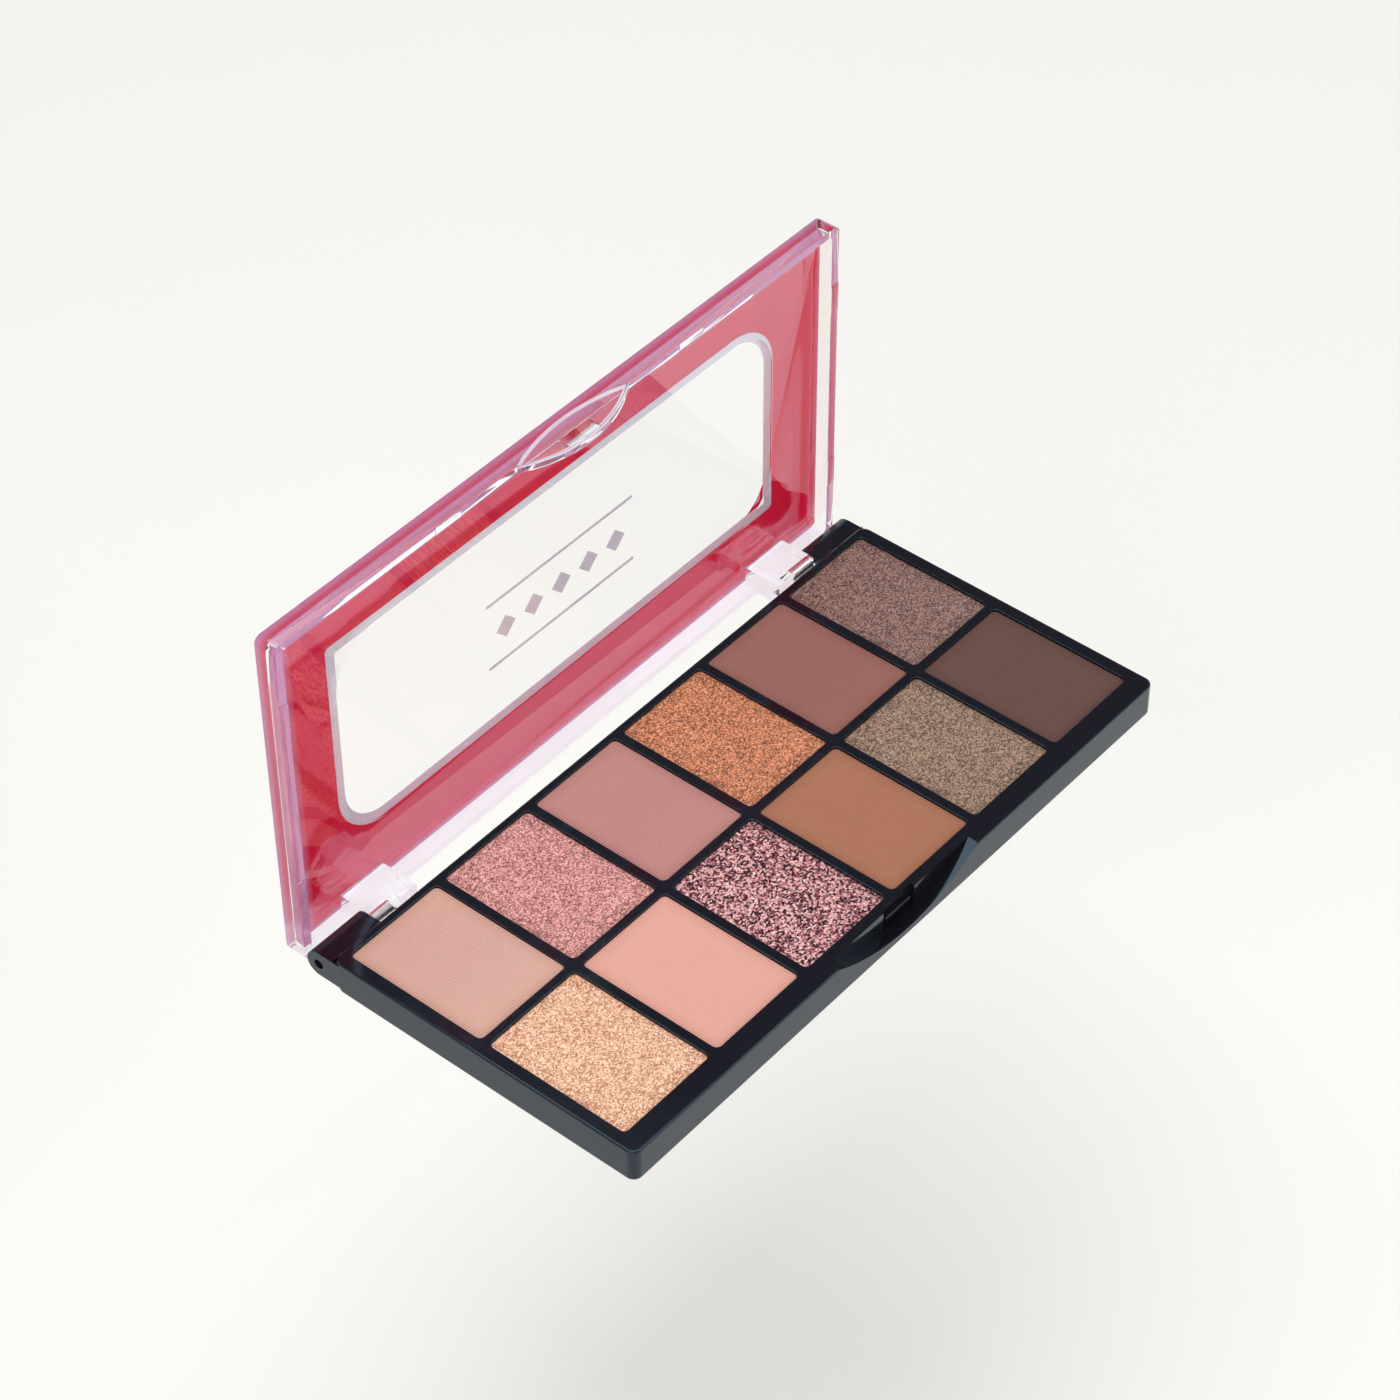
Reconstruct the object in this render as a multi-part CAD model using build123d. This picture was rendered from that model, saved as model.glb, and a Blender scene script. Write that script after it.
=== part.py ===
from build123d import *
import os

# An eyeshadow palette: a black base with twelve pressed shadows in metal pans, and a clear
# lid with a crimson print, hinged on two pins behind the base.
# Millimetres. X runs along the palette, Y towards the hinge, Z up.
# The origin is the centre of the base's underside. The lid is modelled closed and then
# swung open to a right angle, which is its rest position here.

# ---- base ------------------------------------------------------------------------------------
BASE_LENGTH = 140.0
BASE_DEPTH = 65.1
BASE_HEIGHT = 7.2
BASE_CORNER = 1.8
BASE_TOP_EDGE = 0.4
OPENING_EDGE = 0.12
BASE_BOTTOM_EDGE = 0.9

# ---- pans and shadows ------------------------------------------------------------------------
COLUMNS = 6
ROWS = ("front", "back")
PITCH_X = 22.76
PITCH_Y = 30.5
GRID_Y = 1.4                # centre of the grid of pans, nearer the hinge than the front
OPENING_LENGTH = 20.9       # opening in the deck above each pan
OPENING_DEPTH = 28.9
OPENING_CORNER = 1.0
DECK_LIP = 0.5              # thickness of the deck that overlaps each pan's rim
PAN_OVERLAP = 0.3           # how far the deck covers the pan on each side
PAN_WALL = 0.3
PAN_HEIGHT = 2.8
PAN_GAP = 0.1               # space round each pan in its well
RIM_GAP = 0.02              # space between a pan's rim and the deck above it
SHADOW_GAP = 0.02
SHADOW_STEP = 0.4           # how far the pressed shadow lies below the deck
SHADOW_EDGE = 0.12

# ---- bottom cover, its label and the glue under the pans -------------------------------------
COVER_THICKNESS = 1.2
COVER_MARGIN = 1.6          # base wall left round the cover
COVER_GAP = 0.1
COVER_CORNER = 1.2
GLUE_THICKNESS = 0.1
GLUE_RADIUS = 5.0
PLINTH_INSET = 1.6          # each plinth is this much smaller than its pan all round
PLINTH_WALL = 1.0
LABEL_LENGTH = 96.0
LABEL_DEPTH = 34.0
LABEL_THICKNESS = 0.12
LABEL_CORNER = 3.0

# ---- finger scoop and catch at the front of the base -----------------------------------------
SCOOP_HALF_LENGTH = 18.9
SCOOP_DROP = 5.3
SCOOP_REACH = 2.15          # how far the scoop goes in behind the front face
SCOOP_EDGE = 0.4
CATCH_LENGTH = 6.6
CATCH_HEIGHT = 0.7
CATCH_DROP = 2.3            # catch's middle, below the deck
CATCH_STAND = 0.8           # how far the catch stands out of the back of its notch
NOTCH_LENGTH = 8.4
NOTCH_REACH = 0.9
NOTCH_DROP = 4.6

# ---- hinge -----------------------------------------------------------------------------------
HINGE_Y = 35.9
HINGE_Z = 3.9
KNUCKLE_RADIUS = 2.6
EAR_INNER_X = 58.2          # the base's ears run from here to its ends
LUG_INNER_X = 48.0          # the lid's lugs lie inboard of the ears
LUG_GAP = 0.15
LUG_BARREL_X = 52.1         # each lug is round from here outwards, and square inboard of it
LUG_SQUARE_DROP = 1.7       # how far the square part reaches below the hinge's axis
LUG_SQUARE_CORNER = 0.5
PIN_RADIUS = 0.8
PIN_LENGTH = 16.0
PIN_RECESS = 1.0            # pin's outer end, below the end face of the ear
PIN_CHAMFER = 0.2
BORE_CLEARANCE = 0.05
MOUTH_RADIUS = 0.95         # wider mouth of the ear's bore
EAR_FILLET = 0.45

# ---- lid, closed -----------------------------------------------------------------------------
LID_GAP = 0.17              # between the deck and the lid's rim
LID_LENGTH = 139.6
LID_HEIGHT = 4.38
LID_REAR_Y = 37.94
LID_CORNER = 1.6
LID_TOP_EDGE = 0.4
PLATE = 1.7
END_WALL = 1.9
FRONT_WALL = 1.5
REAR_WALL = 1.6
INNER_CORNER = 0.8
LAND_LENGTH = 6.0           # low lands on the rim, which keep it off the deck
LAND_HEIGHT = 0.12
FRONT_LANDS = (-30.0, 30.0)
END_LANDS = (-17.0, 22.5)

# ---- finger lens and latch tongue of the lid -------------------------------------------------
LENS_HALF_LENGTH = 14.0
TONGUE_DROP = 4.2
LENS_RISE = 3.1
TONGUE_THICKNESS = 1.35
DISH_DEPTH = 0.35
DISH_BORDER = 0.7
TAB_LENGTH = 7.2
TAB_THICKNESS = 0.45
TAB_DROP = 3.5
HOOK_HEIGHT = 0.6
HOOK_STAND = 0.25

# ---- print, foil and ornament on the lid's outer face ----------------------------------------
FILM = 0.08
FILM_GAP = 0.01
PRINT_MARGIN = 0.5
PRINT_CORNER = 1.2
WINDOW_LENGTH = 112.0
WINDOW_DEPTH = 44.9
WINDOW_FRONT_MARGIN = 12.0  # lid's free edge to the window
WINDOW_ROUND = 11.0
WINDOW_SHARP = 1.0
FOIL_WIDTH = 2.0
ORNAMENT_Y_OFFSET = 2.2     # towards the hinge from the window's middle
RULE_LENGTH = 37.0
RULE_WIDTH = 0.6
RULE_SPACING = 7.0          # from the row of lozenges to the rule on each side
LOZENGE_SIDE = 3.4
LOZENGE_PITCH = 7.0
LOZENGES = 5

# ---- places that follow from the sizes above -------------------------------------------------
DECK_UNDERSIDE = BASE_HEIGHT - DECK_LIP
FRONT_Y = -BASE_DEPTH / 2
REAR_Y = BASE_DEPTH / 2
END_X = BASE_LENGTH / 2
PAN_LENGTH = OPENING_LENGTH + 2 * PAN_OVERLAP
PAN_DEPTH = OPENING_DEPTH + 2 * PAN_OVERLAP
PAN_CORNER = OPENING_CORNER + PAN_OVERLAP
PAN_TOP = DECK_UNDERSIDE - RIM_GAP
PAN_BOTTOM = PAN_TOP - PAN_HEIGHT
PLINTH_TOP = PAN_BOTTOM - GLUE_THICKNESS
LID_RIM = BASE_HEIGHT + LID_GAP
LID_TOP = LID_RIM + LID_HEIGHT
PLATE_UNDERSIDE = LID_TOP - PLATE
LID_DEPTH = LID_REAR_Y - FRONT_Y
LID_MIDDLE_Y = (LID_REAR_Y + FRONT_Y) / 2
LUG_OUTER_X = EAR_INNER_X - LUG_GAP
WINDOW_Y = FRONT_Y + WINDOW_FRONT_MARGIN + WINDOW_DEPTH / 2
FILM_BOTTOM = LID_TOP + FILM_GAP
HINGE = Axis((0, HINGE_Y, HINGE_Z), (1, 0, 0))


def slab(length, depth, bottom, top, corner=0.0, x=0.0, y=0.0):
    """An upright block centred on x and y, with rounded upright edges if corner is given."""
    outline = RectangleRounded(length, depth, corner) if corner else Rectangle(length, depth)
    return Pos(x, y, bottom) * extrude(outline, top - bottom)


def side_profile(sketch, x_low, x_high):
    """Extrude a sketch drawn in Y and Z along X."""
    return extrude(Plane.YZ.offset(x_low) * sketch, x_high - x_low)


def front_profile(sketch, y_front, y_back):
    """Extrude a sketch drawn in X and Z from y_front back to y_back."""
    return extrude(Plane.XZ.offset(-y_back) * sketch, y_back - y_front)


def rod(radius, x_low, x_high):
    """A round bar on the hinge's axis."""
    return side_profile(Pos(HINGE_Y, HINGE_Z) * Circle(radius), x_low, x_high)


def arc_segment(half_length, sagitta, z):
    """A flat segment of a circle in X and Z, hanging below z, or standing on it if negative."""
    chord = Line((-half_length, z), (half_length, z))
    bow = ThreePointArc((-half_length, z), (0, z - sagitta), (half_length, z))
    return make_face([chord, bow])


def both_ends(piece):
    """The piece and its mirror image at the other end of the palette."""
    return [piece, mirror(piece, Plane.YZ)]


def pan_places():
    """Name and place of every pan, along the front row and then the back row."""
    places = []
    for row, side in zip(ROWS, (-0.5, 0.5)):
        for column in range(COLUMNS):
            x = (column - (COLUMNS - 1) / 2) * PITCH_X
            places.append((f"{row}_{column + 1}", x, GRID_Y + side * PITCH_Y))
    return places


# ---- base ------------------------------------------------------------------------------------
def base_block():
    """The outside of the base with the openings in its deck."""
    block = slab(BASE_LENGTH, BASE_DEPTH, 0, BASE_HEIGHT, BASE_CORNER)
    block -= [slab(OPENING_LENGTH, OPENING_DEPTH, COVER_THICKNESS, BASE_HEIGHT, OPENING_CORNER, x, y)
              for _, x, y in pan_places()]
    rim = block.faces().sort_by(Axis.Z)[-1].outer_wire().edges()
    block = fillet(rim, BASE_TOP_EDGE)
    openings = [wire.edges() for wire in block.faces().sort_by(Axis.Z)[-1].inner_wires()]
    block = fillet([edge for wire in openings for edge in wire], OPENING_EDGE)
    return fillet(block.edges().group_by(Axis.Z)[0], BASE_BOTTOM_EDGE)


def underside_hollows():
    """The wells that the pans are loaded into from below, and the recess for the cover."""
    well_length = PAN_LENGTH + 2 * PAN_GAP
    well_depth = PAN_DEPTH + 2 * PAN_GAP
    wells = [slab(well_length, well_depth, COVER_THICKNESS, DECK_UNDERSIDE, PAN_CORNER, x, y)
             for _, x, y in pan_places()]
    recess_length = BASE_LENGTH - 2 * COVER_MARGIN
    recess_depth = BASE_DEPTH - 2 * COVER_MARGIN
    return wells + [slab(recess_length, recess_depth, 0, COVER_THICKNESS, COVER_CORNER)]


def hinge_ear():
    """The ear at the base's right end: a barrel joined to the back of the base."""
    web_front = REAR_Y - BASE_CORNER
    web = Pos((web_front + HINGE_Y) / 2, HINGE_Z) * Rectangle(HINGE_Y - web_front, 2 * KNUCKLE_RADIUS)
    barrel = Pos(HINGE_Y, HINGE_Z) * Circle(KNUCKLE_RADIUS)
    ear_top = HINGE_Z + KNUCKLE_RADIUS
    crease = Pos(REAR_Y + EAR_FILLET / 2, ear_top + EAR_FILLET / 2) * Rectangle(EAR_FILLET, EAR_FILLET)
    crease -= Pos(REAR_Y + EAR_FILLET, ear_top + EAR_FILLET) * Circle(EAR_FILLET)
    return side_profile(web + barrel + crease, EAR_INNER_X, END_X)


def finger_scoop():
    """What is cut from the middle of the base's front edge."""
    shape = arc_segment(SCOOP_HALF_LENGTH, SCOOP_DROP, BASE_HEIGHT)
    return front_profile(shape, FRONT_Y - 1, FRONT_Y + SCOOP_REACH)


def latch_notch():
    """The pocket behind the scoop, less the ridge that the lid's hook snaps under."""
    back = FRONT_Y + SCOOP_REACH
    pocket = slab(NOTCH_LENGTH, NOTCH_REACH, BASE_HEIGHT - NOTCH_DROP, BASE_HEIGHT, y=back + NOTCH_REACH / 2)
    ridge = Pos(0, back + NOTCH_REACH - CATCH_STAND / 2, BASE_HEIGHT - CATCH_DROP) * Box(
        CATCH_LENGTH, CATCH_STAND, CATCH_HEIGHT)
    ridge = fillet(ridge.edges().filter_by(Axis.X).group_by(Axis.Y)[0], CATCH_HEIGHT / 3)
    return pocket - ridge


def base_shell():
    shell = base_block()
    shell += both_ends(hinge_ear())
    shell -= underside_hollows()
    shell -= finger_scoop()
    shell -= latch_notch()
    bore = rod(PIN_RADIUS, EAR_INNER_X - 1, END_X + 1)
    mouth = rod(MOUTH_RADIUS, END_X - PIN_RECESS, END_X + 1)
    return shell - both_ends(bore) - both_ends(mouth)


def plinth(x, y):
    """The raised frame that a pan stands on, and the boss that it is glued to."""
    length = PAN_LENGTH - 2 * PLINTH_INSET
    depth = PAN_DEPTH - 2 * PLINTH_INSET
    frame = slab(length, depth, COVER_THICKNESS, PLINTH_TOP + GLUE_THICKNESS, PAN_CORNER, x, y)
    frame -= slab(length - 2 * PLINTH_WALL, depth - 2 * PLINTH_WALL, COVER_THICKNESS, BASE_HEIGHT, x=x, y=y)
    boss_height = PLINTH_TOP - COVER_THICKNESS
    boss = Pos(x, y, COVER_THICKNESS) * extrude(Circle(GLUE_RADIUS + PLINTH_WALL), boss_height)
    return [frame, boss]


def bottom_cover():
    """The plate that closes the base from below, with a plinth under each pan."""
    inset = COVER_MARGIN + COVER_GAP
    cover = slab(BASE_LENGTH - 2 * inset, BASE_DEPTH - 2 * inset, 0, COVER_THICKNESS, COVER_CORNER)
    for _, x, y in pan_places():
        cover += plinth(x, y)
    return cover - slab(LABEL_LENGTH, LABEL_DEPTH, 0, LABEL_THICKNESS, LABEL_CORNER)


def underside_label():
    return slab(LABEL_LENGTH, LABEL_DEPTH, 0, LABEL_THICKNESS, LABEL_CORNER)


def pan_glue():
    """One round dab of glue under each pan."""
    return Compound(children=[Pos(x, y, PLINTH_TOP) * extrude(Circle(GLUE_RADIUS), GLUE_THICKNESS)
                              for _, x, y in pan_places()])


def metal_pan(x, y):
    outside = slab(PAN_LENGTH, PAN_DEPTH, PAN_BOTTOM, PAN_TOP, PAN_CORNER, x, y)
    outside = fillet(outside.edges().group_by(Axis.Z)[0], PAN_WALL)
    inside = slab(PAN_LENGTH - 2 * PAN_WALL, PAN_DEPTH - 2 * PAN_WALL, PAN_BOTTOM + PAN_WALL, PAN_TOP,
                  PAN_CORNER - PAN_WALL, x, y)
    return outside - inside


def pressed_shadow(x, y):
    length = PAN_LENGTH - 2 * (PAN_WALL + SHADOW_GAP)
    depth = PAN_DEPTH - 2 * (PAN_WALL + SHADOW_GAP)
    cake = slab(length, depth, PAN_BOTTOM + PAN_WALL, BASE_HEIGHT - SHADOW_STEP, PAN_CORNER - PAN_WALL, x, y)
    return fillet(cake.edges().group_by(Axis.Z)[-1], SHADOW_EDGE)


def hinge_pin():
    """The pin at the right end, pressed into the ear and free to turn in the lid's lug."""
    outer_end = END_X - PIN_RECESS
    pin = rod(PIN_RADIUS, outer_end - PIN_LENGTH, outer_end)
    return chamfer(pin.edges().filter_by(GeomType.CIRCLE), PIN_CHAMFER)


# ---- lid -------------------------------------------------------------------------------------
def lid_tray():
    """The lid's plate and walls."""
    tray = slab(LID_LENGTH, LID_DEPTH, LID_RIM, LID_TOP, LID_CORNER, y=LID_MIDDLE_Y)
    tray = fillet(tray.edges().group_by(Axis.Z)[-1], LID_TOP_EDGE)
    hollow_length = LID_LENGTH - 2 * END_WALL
    hollow_depth = LID_DEPTH - FRONT_WALL - REAR_WALL
    hollow_y = LID_MIDDLE_Y + (FRONT_WALL - REAR_WALL) / 2
    return tray - slab(hollow_length, hollow_depth, LID_RIM, PLATE_UNDERSIDE, INNER_CORNER, y=hollow_y)


def rim_lands():
    """Low lands across the rim's width, which rest on the deck when the lid is shut."""
    bottom = LID_RIM - LAND_HEIGHT
    front = FRONT_Y + FRONT_WALL / 2
    lands = [slab(LAND_LENGTH, FRONT_WALL, bottom, LID_RIM, x=x, y=front) for x in FRONT_LANDS]
    for y in END_LANDS:
        land = slab(END_WALL, LAND_LENGTH, bottom, LID_RIM, x=(LID_LENGTH - END_WALL) / 2, y=y)
        lands += both_ends(land)
    return lands


def hinge_lug():
    """The lug at the lid's right rear: a barrel that turns on the pin, and a square part inboard of it."""
    front = HINGE_Y - KNUCKLE_RADIUS
    width = LID_REAR_Y - front
    height = PLATE_UNDERSIDE - HINGE_Z
    block = Pos(front + width / 2, HINGE_Z + height / 2) * Rectangle(width, height)
    barrel = Pos(HINGE_Y, HINGE_Z) * Circle(KNUCKLE_RADIUS)
    square = Pos(front + width / 2, HINGE_Z) * Rectangle(width, 2 * LUG_SQUARE_DROP)
    square = fillet(square.vertices().group_by(Axis.Y)[0], LUG_SQUARE_CORNER)
    outboard = side_profile(block + barrel, LUG_BARREL_X, LUG_OUTER_X)
    return outboard + side_profile(block + square, LUG_INNER_X, LUG_BARREL_X)


def latch_tongue():
    """The curved flap that hangs into the base's finger scoop, with the tab and its hook."""
    tab_front = FRONT_Y + TONGUE_THICKNESS
    flap = front_profile(arc_segment(LENS_HALF_LENGTH, TONGUE_DROP, LID_RIM), FRONT_Y, tab_front)
    tab = slab(TAB_LENGTH, TAB_THICKNESS, LID_RIM - TAB_DROP, LID_RIM, y=tab_front + TAB_THICKNESS / 2)
    hook = slab(TAB_LENGTH, HOOK_STAND, LID_RIM - TAB_DROP, LID_RIM - TAB_DROP + HOOK_HEIGHT,
                y=tab_front + TAB_THICKNESS + HOOK_STAND / 2)
    return [flap, tab, hook]


def finger_dish():
    """The shallow lens-shaped hollow in the front of the lid, where a finger lifts it."""
    back = FRONT_Y + DISH_DEPTH
    half_length = LENS_HALF_LENGTH - DISH_BORDER
    below = front_profile(arc_segment(half_length, TONGUE_DROP - DISH_BORDER, LID_RIM), FRONT_Y - 1, back)
    above = front_profile(arc_segment(half_length, DISH_BORDER - LENS_RISE, LID_RIM), FRONT_Y - 1, back)
    return [below, above]


def lid_shell():
    shell = lid_tray()
    shell += rim_lands()
    shell += both_ends(hinge_lug())
    shell += latch_tongue()
    shell -= finger_dish()
    bore_radius = PIN_RADIUS + BORE_CLEARANCE
    bore_end = END_X - PIN_RECESS - PIN_LENGTH - 2 * BORE_CLEARANCE
    return shell - both_ends(rod(bore_radius, bore_end, LUG_OUTER_X + 1))


def leaf(length, depth, round_corner, sharp_corner):
    """A rectangle with two opposite corners well rounded and the other two nearly sharp."""
    outline = Pos(0, WINDOW_Y) * Rectangle(length, depth)
    rounded = [v for v in outline.vertices() if v.X * (v.Y - WINDOW_Y) < 0]
    outline = fillet(rounded, round_corner)
    corner = length / 2 + depth / 2
    sharp = [v for v in outline.vertices() if abs(v.X) + abs(v.Y - WINDOW_Y) > corner - sharp_corner]
    return fillet(sharp, sharp_corner)


def film(sketch):
    """A thin layer on the lid's outer face."""
    return Pos(0, 0, FILM_BOTTOM) * extrude(sketch, FILM)


def lid_print():
    length = LID_LENGTH - 2 * PRINT_MARGIN
    depth = LID_DEPTH - 2 * PRINT_MARGIN
    field = Pos(0, LID_MIDDLE_Y) * RectangleRounded(length, depth, PRINT_CORNER)
    return film(field - leaf(WINDOW_LENGTH, WINDOW_DEPTH, WINDOW_ROUND, WINDOW_SHARP))


def window_foil():
    outside = leaf(WINDOW_LENGTH, WINDOW_DEPTH, WINDOW_ROUND, WINDOW_SHARP)
    inner_length = WINDOW_LENGTH - 2 * FOIL_WIDTH
    inner_depth = WINDOW_DEPTH - 2 * FOIL_WIDTH
    return film(outside - leaf(inner_length, inner_depth, WINDOW_ROUND - FOIL_WIDTH, WINDOW_SHARP / 2))


def window_ornament():
    """A plain row of lozenges between two rules, in foil."""
    middle_y = WINDOW_Y + ORNAMENT_Y_OFFSET
    pieces = []
    for index in range(LOZENGES):
        x = (index - (LOZENGES - 1) / 2) * LOZENGE_PITCH
        pieces.append(film(Pos(x, middle_y) * Rot(0, 0, 45) * Rectangle(LOZENGE_SIDE, LOZENGE_SIDE)))
    for side in (-1, 1):
        pieces.append(film(Pos(0, middle_y + side * RULE_SPACING) * Rectangle(RULE_LENGTH, RULE_WIDTH)))
    return Compound(children=pieces)


def opened(piece):
    """Swing a piece of the closed lid up to a right angle."""
    return piece.rotate(HINGE, -90)


def main():
    right_pin = hinge_pin()
    parts = {
        "base_shell": base_shell(),
        "bottom_cover": bottom_cover(),
        "underside_label": underside_label(),
        "pan_glue": pan_glue(),
        "hinge_pin_right": right_pin,
        "hinge_pin_left": mirror(right_pin, Plane.YZ),
        "lid_shell": opened(lid_shell()),
        "lid_print": opened(lid_print()),
        "window_foil": opened(window_foil()),
        "window_ornament": opened(window_ornament()),
    }
    for name, x, y in pan_places():
        parts[f"pan_{name}"] = metal_pan(x, y)
        parts[f"shadow_{name}"] = pressed_shadow(x, y)
    os.makedirs("parts", exist_ok=True)
    for name, piece in parts.items():
        export_step(piece, f"parts/{name}.step")


main()
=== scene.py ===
import math

import bpy
from mathutils import Matrix, Vector


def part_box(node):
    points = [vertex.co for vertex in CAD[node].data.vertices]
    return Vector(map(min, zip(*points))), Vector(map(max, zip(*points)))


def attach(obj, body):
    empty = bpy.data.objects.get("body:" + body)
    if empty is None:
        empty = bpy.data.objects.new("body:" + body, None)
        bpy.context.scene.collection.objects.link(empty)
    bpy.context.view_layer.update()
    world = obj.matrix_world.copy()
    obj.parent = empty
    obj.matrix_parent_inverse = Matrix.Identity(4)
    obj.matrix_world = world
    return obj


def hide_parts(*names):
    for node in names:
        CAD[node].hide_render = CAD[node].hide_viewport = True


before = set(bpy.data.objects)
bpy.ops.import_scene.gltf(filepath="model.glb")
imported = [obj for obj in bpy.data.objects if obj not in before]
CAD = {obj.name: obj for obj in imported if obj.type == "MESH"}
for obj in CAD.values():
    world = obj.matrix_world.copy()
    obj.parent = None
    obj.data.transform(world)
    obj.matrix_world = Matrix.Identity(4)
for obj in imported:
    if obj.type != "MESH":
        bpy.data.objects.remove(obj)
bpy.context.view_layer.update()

MM = 0.001

# ---- camera, floor and light ------------------------------------------------------------------
AIM = Vector((-0.0074, 0.0063, 0.036))
CAMERA_DISTANCE = 0.6742
CAMERA_AZIMUTH = math.radians(-49.84)
CAMERA_ELEVATION = math.radians(43.68)
CAMERA_ROLL = math.radians(-0.355)
LENS = 105.6
SENSOR_WIDTH = 36
CLIP_START = 0.01
FLOOR_Z = -0.13
FLOOR_SIZE = 8.0
FLOOR_COLOUR = (0.863, 0.858, 0.806, 1)
HORIZON_COLOUR = (1.04, 1.08, 1.14, 1)
ZENITH_COLOUR = (0.18, 0.16, 0.175, 1)
HORIZON_SHARE = 0.42        # sine of the height where the pale walls start to give way to the dim ceiling
CEILING_SHARE = 0.66        # sine of the height where the ceiling is at its dimmest
SOFTBOXES = {               # name: place, target, size, power
    "top_softbox": ((0.08, 0.15, 1.3), (0.08, 0.15, 0), 1.2, 12.6),
    "left_softbox": ((-1.2, -0.4, 0.8), (0, 0, 0), 0.9, 6),
    "front_softbox": ((0.5, -1.3, 0.8), (0, 0, 0), 0.9, 5),
}

# ---- colours ------------------------------------------------------------------------------------
BLACK_PLASTIC = (0.0065, 0.0058, 0.0085, 1)
BLACK_SHEEN = (0.5, 0.78, 1.0, 1)
MILK = (0.90, 0.93, 0.98, 1)
LAMP_THROUGH_LID = (0.97, 0.97, 0.98, 1)
CRIMSON = ((0.62, 0.008, 0.036, 1), (0.70, 0.014, 0.054, 1))
# painted reflection: these lilac and pink tints stand in for the light the lid's thick acrylic walls bend
# and reflect over the print's edges
LILAC_WALL_REFLECTION = (0.60, 0.27, 0.46, 1)
PINK_WALL_REFLECTION = (0.62, 0.11, 0.19, 1)
INK_SHEEN = (0.85, 0.72, 1.0, 1)
SILVER = ((0.66, 0.66, 0.76, 1), (0.78, 0.78, 0.86, 1))
STEEL = (0.62, 0.61, 0.6, 1)
TIN = (0.7, 0.7, 0.71, 1)
SATIN_BLACK = (0.014, 0.014, 0.016, 1)
PAPER = ((0.72, 0.72, 0.70, 1), (0.80, 0.80, 0.79, 1))
GLUE = (0.7, 0.62, 0.42, 1)
GLITTER_MID = (0.25, 0.05, 0.08, 1)
# painted glint: the colour of the brightest glitter flakes stands in for their highlight
GLITTER_PAINTED_GLINT = (1.0, 0.66, 0.62, 1)

# ---- patterns, as features per metre ----------------------------------------------------------
GLOSS_CLOUD, GLOSS_RIPPLE = 60, 350
ACRYLIC_RIPPLE = 90
INK_CLOUD = 45
FOIL_CLOUD = 260
STEEL_LINES = 1500
TIN_GRAIN = 900
SATIN_GRAIN = 2500
PAPER_GRAIN = 1500
GLUE_GRAIN = 700
MATTE_DUST, MATTE_CLOUD = 4000, 110
SHIMMER_FLAKES, SHIMMER_GRAIN, SHIMMER_CLOUD = 4200.0, 3600, 260
GLITTER_FLAKES, GLITTER_GRAIN = 2800.0, 2300

# ---- cakes of pressed shadow --------------------------------------------------------------------
CAKE_VOXEL = 0.16 * MM
CAKE_CORNER = 1.0 * MM
CAKE_SHOULDER = 0.15 * MM
ALONG_PERIOD = 0.5 * MM         # pitch of the pressing cloth's threads, down the cake and across it
ACROSS_PERIOD = 0.55 * MM
SHADER_BAND = 2 * math.pi / 20  # a band texture's own pitch at scale 1, in a material
TEXTURE_BAND = 10 / (2 * math.pi)
NO_BANDS = 1000.0               # a guide so long on its other axes that nothing varies along them
RIB_DEPTH, THREAD_DEPTH, DUST_DEPTH = 0.022 * MM, 0.016 * MM, 0.03 * MM
SHIMMER_DEPTH = 0.16 * MM
FLAKE_DEPTH, FLAKE_GRAIN_DEPTH = 0.2 * MM, 0.12 * MM
MATTE_FADE = 3 * MM             # a cake darkens at its rim over this width: painted shade in part, packed powder in part
# the shimmer cakes darken at the rim over this width: painted shade in part, packed powder in part
SHIMMER_FADE = 3.5 * MM
FLAKE_TILT = 0.7
CAKES = {                       # place: finish, colour, and the darker colour of its rim (painted shade in part, packed powder in part) or its dark grains
    "back_1": ("matte", (0.63, 0.385, 0.315, 1), (0.50, 0.28, 0.21, 1)),
    "back_2": ("shimmer", (0.61, 0.28, 0.255, 1), (0.17, 0.05, 0.045, 1)),
    "back_3": ("matte", (0.485, 0.24, 0.215, 1), (0.36, 0.16, 0.14, 1)),
    "back_4": ("shimmer", (0.555, 0.205, 0.086, 1), (0.12, 0.028, 0.01, 1)),
    "back_5": ("matte", (0.285, 0.128, 0.105, 1), (0.22, 0.09, 0.075, 1)),
    "back_6": ("shimmer", (0.235, 0.122, 0.094, 1), (0.04, 0.016, 0.013, 1)),
    "front_1": ("shimmer", (0.80, 0.455, 0.30, 1), (0.36, 0.15, 0.07, 1)),
    "front_2": ("matte", (0.70, 0.375, 0.31, 1), (0.58, 0.28, 0.22, 1)),
    "front_3": ("glitter", (0.64, 0.25, 0.25, 1), (0.02, 0.004, 0.008, 1)),
    "front_4": ("matte", (0.37, 0.163, 0.095, 1), (0.29, 0.12, 0.07, 1)),
    "front_5": ("shimmer", (0.28, 0.172, 0.108, 1), (0.05, 0.027, 0.014, 1)),
    "front_6": ("matte", (0.133, 0.069, 0.057, 1), (0.095, 0.048, 0.04, 1)),
}

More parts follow.
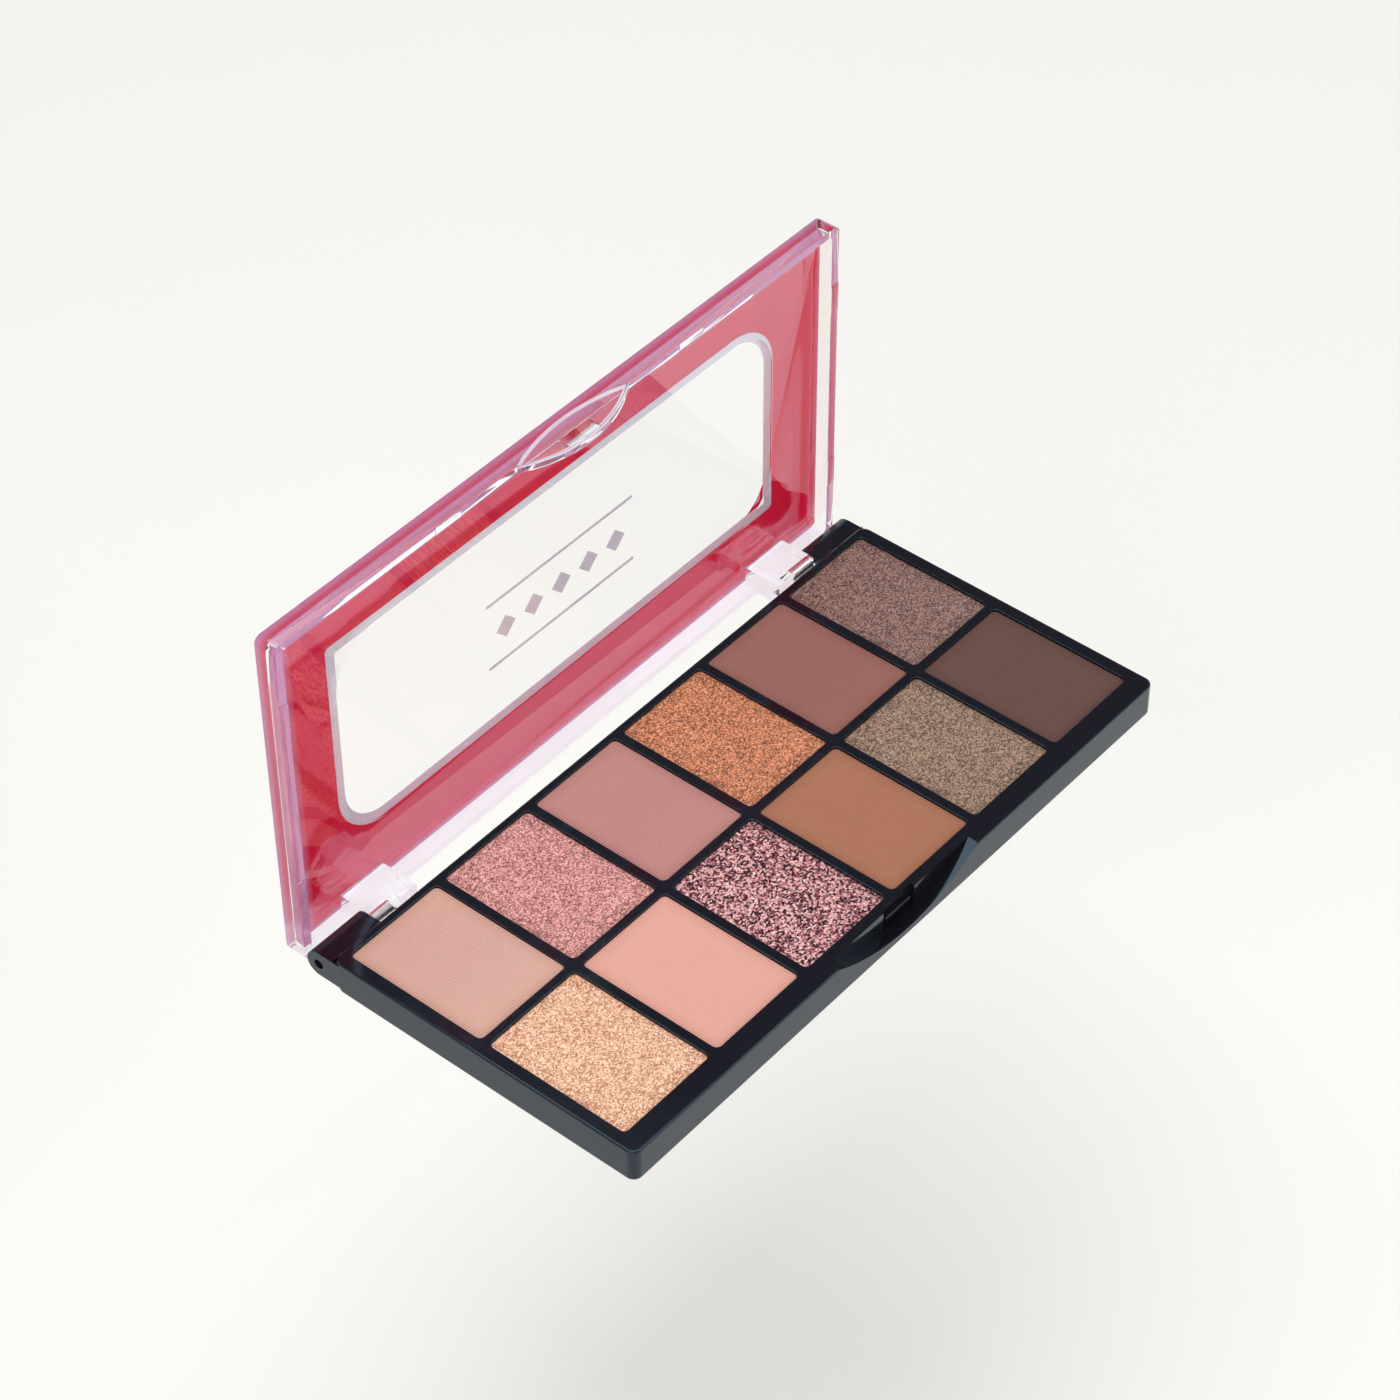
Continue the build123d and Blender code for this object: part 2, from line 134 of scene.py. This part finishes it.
# ---- lid ----------------------------------------------------------------------------------------
MERGE = 0.002 * MM
LID_BEVEL = 0.16 * MM
LID_SHARP = math.radians(35)
LENS_BEVEL = 0.28 * MM
LENS_REACH = 14.2 * MM          # the finger lens reaches this far from the lid's middle
LENS_SKIN = 0.5 * MM            # its outline lies this close under the lid's upper side
LENS_BACK = 42.9 * MM
LENS_FROST = 0.55
HINGE_SIDE_FROST = 0.9
HINGE_SIDE_BELOW_PRINT = 0.5 * MM
SAME_PLANE = 0.02 * MM
FILM_SINK = 0.03 * MM
PANE_INSET = 1.0 * MM           # the window's pane ends at the middle of its foil frame
PANE_CORNER = 10 * MM
ACRYLIC_IOR, PANE_IOR, INK_IOR, BLACK_IOR = 1.49, 1.18, 2.2, 1.52
FAR_REFLECTION_BAND = 6.0 * MM           # the print's bonded side is painted lilac towards its free and left edges, a painted reflection of the acrylic walls
NEAR_REFLECTION_BAND = 1.2 * MM          # and in a narrower band at its hinge and right edges


# ---- shader writing -------------------------------------------------------------------------------
class Value:
    """An output in a material's node tree. Arithmetic on it adds Math nodes."""

    def __init__(self, tree, socket=None):
        self.tree = tree
        self.socket = socket

    def node(self, kind, settings=None, inputs=None, output=0):
        """A node of that type: its settings are made first, then its inputs are set or linked."""
        made = self.tree.nodes.new("ShaderNode" + kind)
        for name, setting in (settings or {}).items():
            if name == "stops":
                fill_ramp(made.color_ramp, setting)
            else:
                setattr(made, name, setting)
        for name, value in (inputs or {}).items():
            if isinstance(value, Value):
                self.tree.links.new(value.socket, made.inputs[name])
            else:
                made.inputs[name].default_value = value
        return Value(self.tree, made.outputs[output]) if made.outputs else made

    def math(self, operation, *values):
        inputs = {index: value for index, value in enumerate(values)}
        return self.node("Math", {"operation": operation}, inputs)

    def __add__(self, other):
        return self.math("ADD", self, other)

    __radd__ = __add__

    def __sub__(self, other):
        return self.math("SUBTRACT", self, other)

    def __rsub__(self, other):
        return self.math("SUBTRACT", other, self)

    def __mul__(self, other):
        return self.math("MULTIPLY", self, other)

    __rmul__ = __mul__

    def part(self, vector, axis):
        """One part of a vector: X, Y or Z."""
        return self.node("SeparateXYZ", None, {"Vector": vector}, axis)

    def clamp(self, low, high):
        """This value spread over 0 to 1 between low and high, smoothly."""
        inputs = {"Value": self, "From Min": low, "From Max": high}
        return self.node("MapRange", {"interpolation_type": "SMOOTHSTEP"}, inputs)


def fill_ramp(ramp, stops):
    while len(ramp.elements) < len(stops):
        ramp.elements.new(1)
    for element, (place, colour) in zip(ramp.elements, stops):
        element.position = place
        element.color = colour


def blend_colours(tree, amount, first, second):
    """A mix of two colours, each a Value or four numbers."""
    return tree.node("Mix", {"data_type": "RGBA"}, {"Factor": amount, 6: first, 7: second}, output=2)


def blend_stop(first, second, share):
    """A plain mix of two colours given as numbers."""
    return tuple(a + (b - a) * share for a, b in zip(first, second))


def mix_shaders(tree, amount, first, second):
    return tree.node("MixShader", None, {0: amount, 1: first, 2: second})


def new_material(name):
    """A material and the start of its node tree."""
    material = bpy.data.materials.new(name)
    material.use_nodes = True
    material.node_tree.nodes.clear()
    return material, Value(material.node_tree)


def put_out(tree, shader):
    tree.node("OutputMaterial", None, {"Surface": shader})


def principled(tree, **inputs):
    """A principled shader, its inputs by plain names: base_color for Base Color, and so on."""
    special = {"ior": "IOR", "specular_ior_level": "Specular IOR Level"}
    named = {special.get(name, name.replace("_", " ").title()): value for name, value in inputs.items()}
    return tree.node("BsdfPrincipled", None, named)


def object_coordinates(tree, centre=None):
    """The piece's own coordinates in metres, from centre if that is given."""
    own = tree.node("TexCoord", None, None, "Object")
    if centre is None:
        return own
    return tree.node("VectorMath", {"operation": "SUBTRACT"}, {0: own, 1: centre})


def noise(tree, where, scale, detail=2.0, roughness=0.5):
    inputs = {"Vector": where, "Scale": scale, "Detail": detail, "Roughness": roughness}
    return tree.node("TexNoise", None, inputs)


def bump(tree, height, strength, distance):
    return tree.node("Bump", None, {"Height": height, "Strength": strength, "Distance": distance})


# ---- materials ------------------------------------------------------------------------------------
def floor_paint():
    material, tree = new_material("floor_paint")
    put_out(tree, principled(tree, base_color=FLOOR_COLOUR, roughness=0.9, specular_ior_level=0.0))
    return material


def base_gloss():
    """Polished black plastic with a faint cloudiness and moulding ripple."""
    material, tree = new_material("base_gloss")
    where = object_coordinates(tree)
    polish = noise(tree, where, GLOSS_CLOUD, 4) * 0.08 + 0.06
    ripple = bump(tree, noise(tree, where, GLOSS_RIPPLE), 0.05, 0.1 * MM)
    put_out(tree, principled(tree, base_color=BLACK_PLASTIC, roughness=polish, normal=ripple, ior=BLACK_IOR,
                             specular_tint=BLACK_SHEEN))
    return material


def clear_acrylic():
    """Clear lid plastic, milky where the mesh's frost attribute says so. Lamps shine through it."""
    material, tree = new_material("clear_acrylic")
    where = object_coordinates(tree)
    ripple = bump(tree, noise(tree, where, ACRYLIC_RIPPLE), 0.04, 0.1 * MM)
    walls, pane = (principled(tree, base_color=(1, 1, 1, 1), roughness=0.0, transmission_weight=1.0, ior=ior,
                              normal=ripple) for ior in (ACRYLIC_IOR, PANE_IOR))
    solid = mix_shaders(tree, window_mask(tree, where), walls, pane)
    lit = tree.node("BsdfDiffuse", None, {"Color": MILK})
    glow = tree.node("BsdfTranslucent", None, {"Color": MILK})
    frost = tree.node("Attribute", {"attribute_name": "frost"}, None, "Fac")
    skin = mix_shaders(tree, frost, solid, mix_shaders(tree, 0.4, lit, glow))
    open_way = tree.node("BsdfTransparent", None, {"Color": LAMP_THROUGH_LID})
    shadow = tree.node("LightPath", None, None, "Is Shadow Ray")
    put_out(tree, mix_shaders(tree, shadow, skin, open_way))
    return material


def window_mask(tree, where):
    """1 inside the window, up to the middle of its foil frame. The pane mirrors less than the rest."""
    low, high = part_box("window_foil")
    middle = (low + high) / 2
    half = (high - low) / 2
    off_middle = tree.node("VectorMath", {"operation": "SUBTRACT"}, {0: where, 1: middle})
    squares = []
    for axis, reach in (("X", half.x), ("Z", half.z)):
        past = tree.math("ABSOLUTE", tree.part(off_middle, axis)) - (reach - PANE_INSET - PANE_CORNER)
        past = tree.math("MAXIMUM", past, 0.0)
        squares.append(past * past)
    return tree.math("LESS_THAN", squares[0] + squares[1], PANE_CORNER ** 2)


def crimson_print():
    """Crimson ink. Its bonded side is painted pink and then lilac towards the edges of the lid, a painted
    reflection of the acrylic walls.
    """
    material, tree = new_material("crimson_print")
    where = object_coordinates(tree)
    crimson = blend_colours(tree, noise(tree, where, INK_CLOUD, 5), *CRIMSON)
    low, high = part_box("lid_print")
    across, height = tree.part(where, "X"), tree.part(where, "Z")
    far = tree.math("MINIMUM", across - low.x, high.z - height) * (1 / FAR_REFLECTION_BAND)
    near = tree.math("MINIMUM", high.x - across, height - low.z) * (1 / NEAR_REFLECTION_BAND)
    outside = tree.math("GREATER_THAN", tree.part(where, "Y"), (low.y + high.y) / 2)
    inward = tree.math("MINIMUM", far, near) + outside
    # painted reflection: the lilac and pink bands along the bonded side's edges
    stops = [(0.0, LILAC_WALL_REFLECTION), (0.25, LILAC_WALL_REFLECTION), (0.55, PINK_WALL_REFLECTION), (0.8, PINK_WALL_REFLECTION)]
    edge = tree.node("ValToRGB", {"stops": stops}, {"Fac": inward})
    colour = blend_colours(tree, inward.clamp(0.8, 1.0), edge, crimson)
    put_out(tree, principled(tree, base_color=colour, roughness=0.03, ior=INK_IOR, specular_tint=INK_SHEEN))
    return material


def silver_foil():
    material, tree = new_material("silver_foil")
    cloud = noise(tree, object_coordinates(tree), FOIL_CLOUD, 3)
    colour = blend_colours(tree, cloud, *SILVER)
    put_out(tree, principled(tree, base_color=colour, metallic=0.5, roughness=cloud * 0.1 + 0.2))
    return material


def bare_metal(name, colour, scale, roughness):
    """Bare metal with a fine unevenness in its polish."""
    material, tree = new_material(name)
    grain = noise(tree, object_coordinates(tree), scale)
    put_out(tree, principled(tree, base_color=colour, metallic=1.0, roughness=grain * 0.2 + roughness))
    return material


def satin_black():
    material, tree = new_material("satin_black")
    grain = noise(tree, object_coordinates(tree), SATIN_GRAIN, 3)
    relief = bump(tree, grain, 0.4, 0.05 * MM)
    put_out(tree, principled(tree, base_color=SATIN_BLACK, roughness=grain * 0.2 + 0.4, normal=relief))
    return material


def coated_paper():
    material, tree = new_material("coated_paper")
    grain = noise(tree, object_coordinates(tree), PAPER_GRAIN, 3)
    put_out(tree, principled(tree, base_color=blend_colours(tree, grain, *PAPER), roughness=0.55))
    return material


def soft_glue():
    material, tree = new_material("soft_glue")
    grain = noise(tree, object_coordinates(tree), GLUE_GRAIN)
    put_out(tree, principled(tree, base_color=GLUE, roughness=grain * 0.2 + 0.4))
    return material


def rim_packing_and_shade_mask(tree, where, half, width):
    """1 in the middle of a cake, falling to 0 over width at its rim, where the cakes are painted darker:
    shade in part, packed powder in part.
    """
    from_end = half[0] - tree.math("ABSOLUTE", tree.part(where, "X"))
    from_side = half[1] - tree.math("ABSOLUTE", tree.part(where, "Y"))
    return tree.math("MINIMUM", from_end, from_side).clamp(0.0, width)


def cloth_bands(tree, where, direction, period):
    """Wavering ridges a period apart."""
    inputs = {"Vector": where, "Scale": SHADER_BAND / period, "Distortion": 1.6, "Detail": 2.0,
              "Detail Scale": 1.4}
    return tree.node("TexWave", {"bands_direction": direction}, inputs, "Fac")


def matte_cake(name, centre, half, colour, packed_and_shaded_rim_colour):
    """Pressed matte powder with the print of the pressing cloth, painted darker at its rim: shade in part,
    packed powder in part.
    """
    material, tree = new_material(name)
    where = object_coordinates(tree, centre)
    ribs = cloth_bands(tree, where, "Y", ALONG_PERIOD)
    threads = cloth_bands(tree, where, "X", ACROSS_PERIOD)
    dust = noise(tree, where, MATTE_DUST, 3, 0.7)
    cloud = noise(tree, where, MATTE_CLOUD, 3)
    middle = rim_packing_and_shade_mask(tree, where, half, MATTE_FADE)
    cloth = ribs * 0.45 + threads * 0.25 + dust * 0.3
    # painted shade in part, packed powder in part: the middle term darkens the cake towards its rim colour
    shade = middle * 0.45 + cloud * 0.25 + cloth * 2.2 - 0.85
    tint = blend_colours(tree, shade.clamp(0.15, 1.05), packed_and_shaded_rim_colour, colour)
    relief = bump(tree, cloth, 0.6, 0.05 * MM)
    put_out(tree, principled(tree, base_color=tint, roughness=0.92, specular_ior_level=0.15, normal=relief))
    return material


def shimmer_cake(name, centre, half, colour, dark):
    """Pressed pearl powder: bright platelets between dark grains. The brightest platelets carry a painted
    sparkle, and the rim darkens a little, partly painted shade and partly packed powder.
    """
    material, tree = new_material(name)
    where = object_coordinates(tree, centre)
    flakes = tree.node("TexVoronoi", None, {"Vector": where, "Scale": SHIMMER_FLAKES}, "Color")
    tone = tree.part(flakes, "X")
    fine = noise(tree, where, SHIMMER_GRAIN, 2, 0.8)
    cloud = noise(tree, where, SHIMMER_CLOUD, 2)
    middle = rim_packing_and_shade_mask(tree, where, half, SHIMMER_FADE)
    # the middle term darkens the rim a little: painted shade in part, packed powder in part
    level = tone * 0.6 + fine * 0.6 + cloud * 0.12 + middle * 0.05
    # painted sparkle: the top stop is lighter than the powder's own colour
    bright = tuple(min(1.0, 1.4 * part + 0.06) for part in colour[:3]) + (1,)
    stops = [(0.0, dark), (0.3, blend_stop(dark, colour, 0.5)), (0.6, colour), (1.0, bright)]
    tint = tree.node("ValToRGB", {"stops": stops}, {"Fac": level.clamp(0.38, 1.05)})
    lit = level.clamp(0.4, 1.0)
    relief = bump(tree, fine + tone * 0.5, 0.35, 0.09 * MM)
    put_out(tree, principled(tree, base_color=tint, roughness=lit * -0.2 + 0.6, metallic=lit * 0.3,
                             normal=relief))
    return material


def glitter_cake(name, centre, bright, dark):
    """Coarse glitter pressed in a dark binder. Each flake leans its own way. The lightest flakes carry a
    painted glint in their colour.
    """
    material, tree = new_material(name)
    where = object_coordinates(tree, centre)
    flakes = tree.node("TexVoronoi", None, {"Vector": where, "Scale": GLITTER_FLAKES}, "Color")
    tone = tree.node("SeparateColor", None, {"Color": flakes}, "Red")
    mix = tone * 0.6 + noise(tree, where, GLITTER_GRAIN, 3, 0.8) * 0.7
    # painted glint: the top stop lightens some flakes past their own colour
    stops = [(0.51, dark), (0.61, GLITTER_MID), (0.70, bright), (0.88, GLITTER_PAINTED_GLINT)]
    tint = tree.node("ValToRGB", {"stops": stops}, {"Fac": mix})
    tilt = tree.node("VectorMath", {"operation": "SUBTRACT"}, {0: flakes, 1: (0.5, 0.5, 0.5)})
    lean = tree.node("VectorMath", {"operation": "SCALE"}, {0: tilt, "Scale": FLAKE_TILT})
    straight = tree.node("NewGeometry", None, None, "Normal")
    leant = tree.node("VectorMath", {"operation": "ADD"}, {0: straight, 1: lean})
    normal = tree.node("VectorMath", {"operation": "NORMALIZE"}, {0: leant})
    put_out(tree, principled(tree, base_color=tint, roughness=0.3, metallic=0.6, normal=normal))
    return material


# ---- studio ----------------------------------------------------------------------------------------
def deselect():
    if bpy.context.object and bpy.context.object.mode != "OBJECT":
        bpy.ops.object.mode_set(mode="OBJECT")
    bpy.ops.object.select_all(action="DESELECT")


def add_camera():
    data = bpy.data.cameras.new("camera")
    data.lens = LENS
    data.sensor_width = SENSOR_WIDTH
    data.clip_start = CLIP_START
    camera = bpy.data.objects.new("camera", data)
    bpy.context.scene.collection.objects.link(camera)
    tilt = Matrix.Rotation(math.pi / 2 - CAMERA_ELEVATION, 4, "X")
    turned = Matrix.Rotation(CAMERA_AZIMUTH, 4, "Z") @ tilt @ Matrix.Rotation(CAMERA_ROLL, 4, "Z")
    away = turned.to_3x3() @ Vector((0, 0, CAMERA_DISTANCE))
    camera.matrix_world = Matrix.Translation(AIM + away) @ turned
    bpy.context.scene.camera = camera


def add_world():
    """Pale studio walls under a dim ceiling."""
    world = bpy.data.worlds.new("studio")
    bpy.context.scene.world = world
    world.use_nodes = True
    world.node_tree.nodes.clear()
    tree = Value(world.node_tree)
    height = tree.part(tree.node("TexCoord", None, None, "Generated"), "Z")
    colour = blend_colours(tree, height.clamp(HORIZON_SHARE, CEILING_SHARE), HORIZON_COLOUR, ZENITH_COLOUR)
    tree.node("OutputWorld", None, {"Surface": tree.node("Background", None, {"Color": colour})})


def add_floor():
    bpy.ops.mesh.primitive_plane_add(size=FLOOR_SIZE, location=(0, 0, FLOOR_Z))
    floor = bpy.context.object
    floor.name = "floor"
    floor.data.materials.append(floor_paint())


def add_softboxes():
    for name, (place, target, size, power) in SOFTBOXES.items():
        data = bpy.data.lights.new(name, "AREA")
        data.shape = "RECTANGLE"
        data.size = data.size_y = size
        data.energy = power
        light = bpy.data.objects.new(name, data)
        bpy.context.scene.collection.objects.link(light)
        light.location = place
        light.rotation_euler = (Vector(target) - Vector(place)).to_track_quat("-Z", "Y").to_euler()


# ---- modelling ----------------------------------------------------------------------------------
def select_only(piece):
    deselect()
    piece.select_set(True)
    bpy.context.view_layer.objects.active = piece


def start_pick(piece, mode):
    """Leave one piece with nothing selected, ready to pick verts, edges or faces."""
    select_only(piece)
    bpy.ops.object.mode_set(mode="EDIT")
    bpy.ops.mesh.select_mode(type=mode)
    bpy.ops.mesh.select_all(action="DESELECT")
    leave_edit_mode()


def pick(items, wanted):
    """Select the wanted items and go into edit mode."""
    for item in items:
        item.select = wanted(item)
    bpy.ops.object.mode_set(mode="EDIT")


def leave_edit_mode():
    bpy.ops.object.mode_set(mode="OBJECT")


def add_block(name, low, high):
    """A block between two corners, with its place in its mesh."""
    deselect()
    bpy.ops.mesh.primitive_cube_add(size=1, location=(low + high) / 2, scale=high - low)
    piece = bpy.context.object
    piece.name = name
    bpy.ops.object.transform_apply(location=True, rotation=True, scale=True)
    return piece


def apply(piece, kind, **settings):
    """Add a modifier, set it and apply it."""
    select_only(piece)
    modifier = piece.modifiers.new(kind.lower(), kind)
    for name, setting in settings.items():
        setattr(modifier, name, setting)
    bpy.ops.object.modifier_apply(modifier=modifier.name)


def copy_node(node, name):
    """A merged copy of a CAD node, to be finished by hand."""
    deselect()
    piece = bpy.data.objects.new(name, CAD[node].data.copy())
    bpy.context.scene.collection.objects.link(piece)
    piece.data.materials.clear()
    start_pick(piece, "VERT")
    pick(piece.data.vertices, lambda vertex: True)
    bpy.ops.mesh.remove_doubles(threshold=MERGE)
    leave_edit_mode()
    return piece


def hand_over(piece, node, body, material):
    """Put the finished piece in the CAD node's place."""
    piece.data.materials.append(material)
    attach(piece, body)
    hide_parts(node)


# ---- cakes ------------------------------------------------------------------------------------------
def add_pressing_guide(name, period, axis):
    """A guide that lays a band texture's ridges a period apart along one axis."""
    guide = bpy.data.objects.new(name, None)
    bpy.context.scene.collection.objects.link(guide)
    guide.scale = [TEXTURE_BAND * period if index == axis else NO_BANDS for index in range(3)]
    bpy.context.view_layer.update()
    return guide


def grain_texture(name, kind, size, **settings):
    texture = bpy.data.textures.new(name, kind)
    texture.noise_scale = size
    for setting, value in settings.items():
        setattr(texture, setting, value)
    return texture


def press(piece, texture, depth, guide=None):
    """Work a texture into the top of a cake."""
    settings = {"texture": texture, "strength": depth, "mid_level": 0.6, "direction": "Z"}
    if guide:
        settings.update(texture_coords="OBJECT", texture_coords_object=guide)
    apply(piece, "DISPLACE", vertex_group="top", **settings)


def upright(piece, edge):
    first, second = (piece.data.vertices[index].co for index in edge.vertices)
    return abs(first.z - second.z) > 0.5 * MM and abs(first.x - second.x) < 0.01 * MM


def add_cake(place):
    """A block with rounded corners, remeshed finely, with its top marked for pressing."""
    low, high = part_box("shadow_" + place)
    cake = add_block("pressed_" + place, low, high)
    start_pick(cake, "EDGE")
    pick(cake.data.edges, lambda edge: upright(cake, edge))
    bpy.ops.mesh.bevel(offset=CAKE_CORNER, segments=8)
    leave_edit_mode()
    start_pick(cake, "FACE")
    pick(cake.data.polygons, lambda face: face.normal.z > 0.9)
    bpy.ops.mesh.bevel(offset=CAKE_SHOULDER, segments=2)
    leave_edit_mode()
    apply(cake, "REMESH", mode="VOXEL", voxel_size=CAKE_VOXEL)
    top = cake.vertex_groups.new(name="top")
    inner = [vertex.index for vertex in cake.data.vertices if vertex.co.z > high.z - 0.3 * CAKE_VOXEL]
    top.add(inner, 1.0, "REPLACE")
    return cake


def cake_material(place):
    finish, colour, second_colour = CAKES[place]
    name = "shadow_" + place
    low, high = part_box(name)
    centre = ((low.x + high.x) / 2, (low.y + high.y) / 2, high.z)
    half = ((high.x - low.x) / 2, (high.y - low.y) / 2)
    if finish == "matte":
        return matte_cake(name, centre, half, colour, second_colour)
    if finish == "shimmer":
        return shimmer_cake(name, centre, half, colour, second_colour)
    return glitter_cake(name, centre, colour, second_colour)


def make_cakes():
    across = add_pressing_guide("across", ACROSS_PERIOD, 0)
    along = add_pressing_guide("along", ALONG_PERIOD, 1)
    weave = grain_texture("weave", "WOOD", 0.25, wood_type="BANDS")
    dust = grain_texture("dust", "CLOUDS", 0.5 * MM, noise_depth=2)
    grain = grain_texture("grain", "CLOUDS", 0.42 * MM, noise_depth=2)
    flakes = grain_texture("flakes", "VORONOI", 0.55 * MM, distance_metric="DISTANCE")
    pressings = {
        "matte": ((weave, RIB_DEPTH, along), (weave, THREAD_DEPTH, across), (dust, DUST_DEPTH)),
        "shimmer": ((grain, SHIMMER_DEPTH),),
        "glitter": ((flakes, FLAKE_DEPTH), (grain, FLAKE_GRAIN_DEPTH)),
    }
    for place, (finish, _, _) in CAKES.items():
        cake = add_cake(place)
        for pressing in pressings[finish]:
            press(cake, *pressing)
        hand_over(cake, "shadow_" + place, "base", cake_material(place))
    bpy.data.objects.remove(across)
    bpy.data.objects.remove(along)


# ---- lid ------------------------------------------------------------------------------------------
def on_lens(lid, edge, top):
    """Whether an edge outlines the finger lens in the lid's upper skin."""
    ends = [lid.data.vertices[index].co for index in edge.vertices]
    return all(abs(end.x) < LENS_REACH and end.z > top - LENS_SKIN and end.y < LENS_BACK for end in ends)


def frost(lid, amount, wanted):
    """Set how milky the wanted faces are."""
    skin = lid.data.attributes.get("frost") or lid.data.attributes.new("frost", "FLOAT", "FACE")
    for face in lid.data.polygons:
        if wanted(face):
            skin.data[face.index].value = amount


def faces_down_at(face, height):
    return face.normal.z < -0.9 and abs(face.center.z - height) < SAME_PLANE


def make_clear_lid():
    """The lid's shell with the small soft edges of polished moulding and a milky hinge side."""
    lid = copy_node("lid_shell", "clear_lid")
    select_only(lid)
    bpy.ops.object.mode_set(mode="EDIT")
    bpy.ops.mesh.select_mode(type="EDGE")
    bpy.ops.mesh.select_all(action="DESELECT")
    bpy.ops.mesh.edges_select_sharp(sharpness=LID_SHARP)
    leave_edit_mode()
    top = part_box("lid_shell")[1].z
    pick(lid.data.edges, lambda edge: edge.select and on_lens(lid, edge, top))
    bpy.ops.mesh.bevel(offset=LENS_BEVEL, segments=3, affect="EDGES")
    leave_edit_mode()
    frost(lid, LENS_FROST, lambda face: face.select)
    apply(lid, "BEVEL", width=LID_BEVEL, segments=3, limit_method="ANGLE", angle_limit=LID_SHARP)
    hinge_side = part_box("lid_print")[0].z - HINGE_SIDE_BELOW_PRINT
    frost(lid, HINGE_SIDE_FROST, lambda face: faces_down_at(face, hinge_side))
    select_only(lid)
    bpy.ops.object.shade_smooth_by_angle(angle=LID_SHARP)
    hand_over(lid, "lid_shell", "lid", clear_acrylic())


def sink_film(node, name, material):
    """A film bonded to the lid: its inner side lies just under the acrylic's skin."""
    inner_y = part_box(node)[0].y
    film = copy_node(node, name)
    start_pick(film, "VERT")
    pick(film.data.vertices, lambda vertex: vertex.co.y < inner_y + FILM_SINK / 2)
    bpy.ops.transform.translate(value=(0, -FILM_SINK, 0))
    leave_edit_mode()
    hand_over(film, node, "lid", material)


def make_films():
    foil = silver_foil()
    sink_film("lid_print", "crimson_field", crimson_print())
    sink_film("window_foil", "foil_border", foil)
    sink_film("window_ornament", "foil_ornament", foil)


# ---- pieces kept from the CAD ---------------------------------------------------------------------
def dress(node, material):
    """Give a CAD node its material."""
    slots = CAD[node].data.materials
    slots.clear()
    slots.append(material)


def dress_cad():
    dress("base_shell", base_gloss())
    dress("bottom_cover", satin_black())
    dress("underside_label", coated_paper())
    dress("pan_glue", soft_glue())
    steel = bare_metal("drawn_steel", STEEL, STEEL_LINES, 0.2)
    dress("hinge_pin_left", steel)
    dress("hinge_pin_right", steel)
    tin = bare_metal("pan_tin", TIN, TIN_GRAIN, 0.3)
    for place in CAKES:
        dress("pan_" + place, tin)


bpy.context.scene.view_settings.view_transform = "Standard"
add_camera()
add_world()
add_floor()
add_softboxes()
dress_cad()
make_clear_lid()
make_films()
make_cakes()
